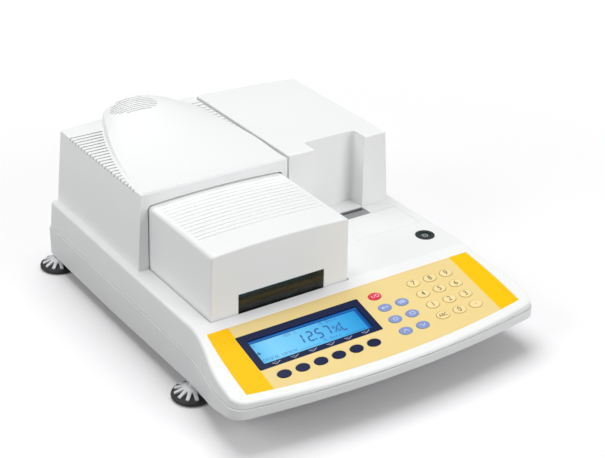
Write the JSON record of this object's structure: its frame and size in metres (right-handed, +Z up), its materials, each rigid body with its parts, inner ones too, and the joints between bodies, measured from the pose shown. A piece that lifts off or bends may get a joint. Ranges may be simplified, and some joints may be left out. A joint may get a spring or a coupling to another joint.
{
  "type": "moisture analyzer",
  "caption": "Benchtop moisture analyzer with a motor-driven sliding heating hood over a sample pan, sloped keypad console with display, printer bay and four levelling feet.",
  "frame": {"origin": "on the bench plane under the feet, midway between the sides and between the console's front edge and the rear", "axes": "+X to the user's right, +Y to the rear, +Z up"},
  "size_m": [0.3706, 0.4529, 0.1866],
  "materials": {
    "white_housing": "satin",
    "smoked_window": "gloss",
    "reflector_metal": "polished",
    "element_ceramic": "matt",
    "gear_plastic": "satin",
    "steel": "satin",
    "pan_aluminium": "satin",
    "chamber_aluminium": "satin",
    "cell_metal": "machined",
    "display_frame": "gloss",
    "overlay_film": "satin",
    "key_red": "satin",
    "key_blue": "satin",
    "key_navy": "satin",
    "key_beige": "satin",
    "plate_grey": "satin",
    "vial_ring": "satin",
    "black_plastic": "satin",
    "board_green": "satin",
    "paper": "matt",
    "foot_rubber": "matt",
    "foot_knob_plastic": "satin"
  },
  "bodies": {
    "base": {"lower_shell": "white_housing", "upper_shell": "white_housing", "heater_tower": "white_housing", "electronics_tower": "white_housing", "chamber_tray": "chamber_aluminium", "draft_shield": "pan_aluminium", "pan_support": "steel", "load_cell": "cell_metal", "display_module": "display_frame", "keypad_overlay": "overlay_film", "slot_plate": "plate_grey", "level_vial": "vial_ring", "power_inlet": "black_plastic", "fan_frame": "black_plastic", "main_board": "board_green", "drive_motor": "steel", "case_screws": "steel"},
    "hood": {"hood_shell": "white_housing", "hood_window": "smoked_window", "hood_reflector": "reflector_metal", "heating_element": "element_ceramic", "hood_rack": "gear_plastic"},
    "drive_pinion_body": {"drive_pinion": "gear_plastic"},
    "sample_pan_body": {"sample_pan": "pan_aluminium"},
    "printer_cover_body": {"printer_cover": "white_housing"},
    "paper_roll_body": {"paper_roll": "paper"},
    "fan_rotor_body": {"fan_rotor": "black_plastic"},
    "key_power_body": {"key_power": "key_red"},
    "key_soft_1_body": {"key_soft_1": "key_navy"},
    "key_soft_2_body": {"key_soft_2": "key_navy"},
    "key_soft_3_body": {"key_soft_3": "key_navy"},
    "key_soft_4_body": {"key_soft_4": "key_navy"},
    "key_soft_5_body": {"key_soft_5": "key_navy"},
    "key_soft_6_body": {"key_soft_6": "key_navy"},
    "key_function_1_body": {"key_function_1": "key_blue"},
    "key_function_2_body": {"key_function_2": "key_blue"},
    "key_function_3_body": {"key_function_3": "key_blue"},
    "key_function_4_body": {"key_function_4": "key_blue"},
    "key_function_5_body": {"key_function_5": "key_blue"},
    "key_function_6_body": {"key_function_6": "key_blue"},
    "key_7_body": {"key_7": "key_beige"},
    "key_8_body": {"key_8": "key_beige"},
    "key_9_body": {"key_9": "key_beige"},
    "key_4_body": {"key_4": "key_beige"},
    "key_5_body": {"key_5": "key_beige"},
    "key_6_body": {"key_6": "key_beige"},
    "key_1_body": {"key_1": "key_beige"},
    "key_2_body": {"key_2": "key_beige"},
    "key_3_body": {"key_3": "key_beige"},
    "key_alpha_body": {"key_alpha": "key_beige"},
    "key_0_body": {"key_0": "key_beige"},
    "key_point_body": {"key_point": "key_beige"},
    "foot_front_left": {"foot_pad_front_left": "foot_rubber", "foot_knob_front_left": "foot_knob_plastic"},
    "foot_front_right": {"foot_pad_front_right": "foot_rubber", "foot_knob_front_right": "foot_knob_plastic"},
    "foot_rear_left": {"foot_pad_rear_left": "foot_rubber", "foot_knob_rear_left": "foot_knob_plastic"},
    "foot_rear_right": {"foot_pad_rear_right": "foot_rubber", "foot_knob_rear_right": "foot_knob_plastic"}
  },
  "joints": [
    {"name": "hood_slide", "type": "slide", "parent": "base", "child": "hood", "axis": [0, 1, 0], "range_m": [0, 0.1225]},
    {"name": "pinion_spin", "type": "hinge", "parent": "base", "child": "drive_pinion_body", "pos_m": [-0.1255, 0.032, 0.104], "axis": [0, 0, 1], "range_deg": [-586.9, 0]},
    {"name": "pan_lift", "type": "slide", "parent": "base", "child": "sample_pan_body", "axis": [0, 0, 1], "range_m": [0, 0.012]},
    {"name": "printer_cover_hinge", "type": "hinge", "parent": "base", "child": "printer_cover_body", "pos_m": [0.099, -0.0443, 0.0782], "axis": [1, 0, 0], "range_deg": [0, 75]},
    {"name": "paper_roll_spin", "type": "hinge", "parent": "base", "child": "paper_roll_body", "pos_m": [0.09, -0.024, 0.05], "axis": [1, 0, 0], "continuous": true},
    {"name": "fan_spin", "type": "hinge", "parent": "base", "child": "fan_rotor_body", "pos_m": [-0.06, 0.174, 0.1575], "axis": [0, 0, 1], "continuous": true},
    {"name": "key_power_press", "type": "slide", "parent": "base", "child": "key_power_body", "axis": [0, 0.2334, -0.9724], "range_m": [0, 0.0005], "stiffness_N_per_m": 600, "springref_m": -0.0005},
    {"name": "key_soft_1_press", "type": "slide", "parent": "base", "child": "key_soft_1_body", "axis": [0, 0.2334, -0.9724], "range_m": [0, 0.0005], "stiffness_N_per_m": 600, "springref_m": -0.0005},
    {"name": "key_soft_2_press", "type": "slide", "parent": "base", "child": "key_soft_2_body", "axis": [0, 0.2334, -0.9724], "range_m": [0, 0.0005], "stiffness_N_per_m": 600, "springref_m": -0.0005},
    {"name": "key_soft_3_press", "type": "slide", "parent": "base", "child": "key_soft_3_body", "axis": [0, 0.2334, -0.9724], "range_m": [0, 0.0005], "stiffness_N_per_m": 600, "springref_m": -0.0005},
    {"name": "key_soft_4_press", "type": "slide", "parent": "base", "child": "key_soft_4_body", "axis": [0, 0.2334, -0.9724], "range_m": [0, 0.0005], "stiffness_N_per_m": 600, "springref_m": -0.0005},
    {"name": "key_soft_5_press", "type": "slide", "parent": "base", "child": "key_soft_5_body", "axis": [0, 0.2334, -0.9724], "range_m": [0, 0.0005], "stiffness_N_per_m": 600, "springref_m": -0.0005},
    {"name": "key_soft_6_press", "type": "slide", "parent": "base", "child": "key_soft_6_body", "axis": [0, 0.2334, -0.9724], "range_m": [0, 0.0005], "stiffness_N_per_m": 600, "springref_m": -0.0005},
    {"name": "key_function_1_press", "type": "slide", "parent": "base", "child": "key_function_1_body", "axis": [0, 0.2334, -0.9724], "range_m": [0, 0.0005], "stiffness_N_per_m": 600, "springref_m": -0.0005},
    {"name": "key_function_2_press", "type": "slide", "parent": "base", "child": "key_function_2_body", "axis": [0, 0.2334, -0.9724], "range_m": [0, 0.0005], "stiffness_N_per_m": 600, "springref_m": -0.0005},
    {"name": "key_function_3_press", "type": "slide", "parent": "base", "child": "key_function_3_body", "axis": [0, 0.2334, -0.9724], "range_m": [0, 0.0005], "stiffness_N_per_m": 600, "springref_m": -0.0005},
    {"name": "key_function_4_press", "type": "slide", "parent": "base", "child": "key_function_4_body", "axis": [0, 0.2334, -0.9724], "range_m": [0, 0.0005], "stiffness_N_per_m": 600, "springref_m": -0.0005},
    {"name": "key_function_5_press", "type": "slide", "parent": "base", "child": "key_function_5_body", "axis": [0, 0.2334, -0.9724], "range_m": [0, 0.0005], "stiffness_N_per_m": 600, "springref_m": -0.0005},
    {"name": "key_function_6_press", "type": "slide", "parent": "base", "child": "key_function_6_body", "axis": [0, 0.2334, -0.9724], "range_m": [0, 0.0005], "stiffness_N_per_m": 600, "springref_m": -0.0005},
    {"name": "key_7_press", "type": "slide", "parent": "base", "child": "key_7_body", "axis": [0, 0.2334, -0.9724], "range_m": [0, 0.0005], "stiffness_N_per_m": 600, "springref_m": -0.0005},
    {"name": "key_8_press", "type": "slide", "parent": "base", "child": "key_8_body", "axis": [0, 0.2334, -0.9724], "range_m": [0, 0.0005], "stiffness_N_per_m": 600, "springref_m": -0.0005},
    {"name": "key_9_press", "type": "slide", "parent": "base", "child": "key_9_body", "axis": [0, 0.2334, -0.9724], "range_m": [0, 0.0005], "stiffness_N_per_m": 600, "springref_m": -0.0005},
    {"name": "key_4_press", "type": "slide", "parent": "base", "child": "key_4_body", "axis": [0, 0.2334, -0.9724], "range_m": [0, 0.0005], "stiffness_N_per_m": 600, "springref_m": -0.0005},
    {"name": "key_5_press", "type": "slide", "parent": "base", "child": "key_5_body", "axis": [0, 0.2334, -0.9724], "range_m": [0, 0.0005], "stiffness_N_per_m": 600, "springref_m": -0.0005},
    {"name": "key_6_press", "type": "slide", "parent": "base", "child": "key_6_body", "axis": [0, 0.2334, -0.9724], "range_m": [0, 0.0005], "stiffness_N_per_m": 600, "springref_m": -0.0005},
    {"name": "key_1_press", "type": "slide", "parent": "base", "child": "key_1_body", "axis": [0, 0.2334, -0.9724], "range_m": [0, 0.0005], "stiffness_N_per_m": 600, "springref_m": -0.0005},
    {"name": "key_2_press", "type": "slide", "parent": "base", "child": "key_2_body", "axis": [0, 0.2334, -0.9724], "range_m": [0, 0.0005], "stiffness_N_per_m": 600, "springref_m": -0.0005},
    {"name": "key_3_press", "type": "slide", "parent": "base", "child": "key_3_body", "axis": [0, 0.2334, -0.9724], "range_m": [0, 0.0005], "stiffness_N_per_m": 600, "springref_m": -0.0005},
    {"name": "key_alpha_press", "type": "slide", "parent": "base", "child": "key_alpha_body", "axis": [0, 0.2334, -0.9724], "range_m": [0, 0.0005], "stiffness_N_per_m": 600, "springref_m": -0.0005},
    {"name": "key_0_press", "type": "slide", "parent": "base", "child": "key_0_body", "axis": [0, 0.2334, -0.9724], "range_m": [0, 0.0005], "stiffness_N_per_m": 600, "springref_m": -0.0005},
    {"name": "key_point_press", "type": "slide", "parent": "base", "child": "key_point_body", "axis": [0, 0.2334, -0.9724], "range_m": [0, 0.0005], "stiffness_N_per_m": 600, "springref_m": -0.0005},
    {"name": "foot_front_left_screw", "type": "hinge", "parent": "base", "child": "foot_front_left", "pos_m": [-0.164, -0.1042, 0.01], "axis": [0, 0, 1], "range_deg": [-1080, 1080]},
    {"name": "foot_front_right_screw", "type": "hinge", "parent": "base", "child": "foot_front_right", "pos_m": [0.164, -0.1042, 0.01], "axis": [0, 0, 1], "range_deg": [-1080, 1080]},
    {"name": "foot_rear_left_screw", "type": "hinge", "parent": "base", "child": "foot_rear_left", "pos_m": [-0.164, 0.2, 0.01], "axis": [0, 0, 1], "range_deg": [-1080, 1080]},
    {"name": "foot_rear_right_screw", "type": "hinge", "parent": "base", "child": "foot_rear_right", "pos_m": [0.164, 0.2, 0.01], "axis": [0, 0, 1], "range_deg": [-1080, 1080]}
  ],
  "couplings": [
    {"joint": "pinion_spin", "follows": "hood_slide", "rad_per_m": -83.333}
  ]
}
